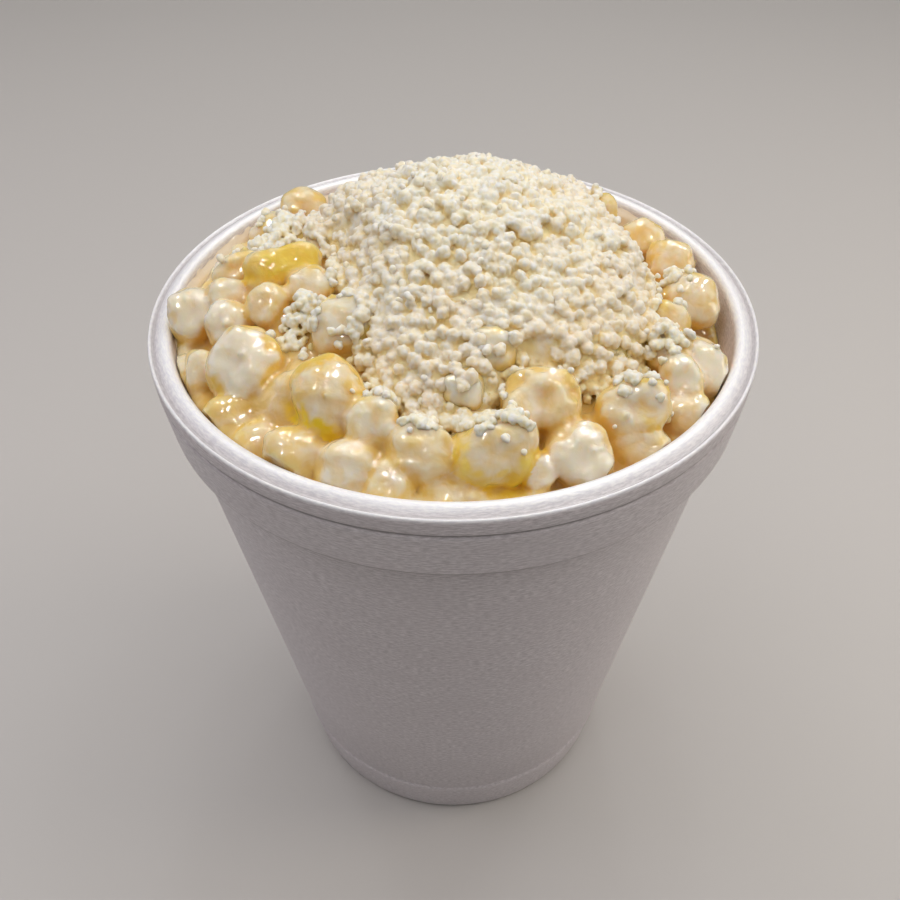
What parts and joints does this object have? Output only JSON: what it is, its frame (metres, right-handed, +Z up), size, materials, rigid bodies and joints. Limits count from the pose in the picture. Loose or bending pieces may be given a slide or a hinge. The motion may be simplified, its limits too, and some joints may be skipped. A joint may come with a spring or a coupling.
{
  "type": "esquites",
  "caption": "Small tapered foam cup with a rolled lip, filled with creamed sweetcorn kernels and heaped with crumbled fresh white cheese.",
  "frame": {"origin": "centre of the foot ring, in the plane that the cup stands on", "axes": "+Z up along the cup's axis; -Y towards the eater; the corn is left bare of cheese towards -X"},
  "size_m": [0.08, 0.08, 0.1047],
  "materials": {
    "foam": "moulded expanded polystyrene, fine grain, faint sheen",
    "creamed_corn": "moist kernels under a glossy film of cream",
    "crumbled_cheese": "soft matte curds"
  },
  "bodies": {
    "root": {"cup": "foam", "corn": "creamed_corn", "cheese": "crumbled_cheese"}
  },
  "joints": []
}
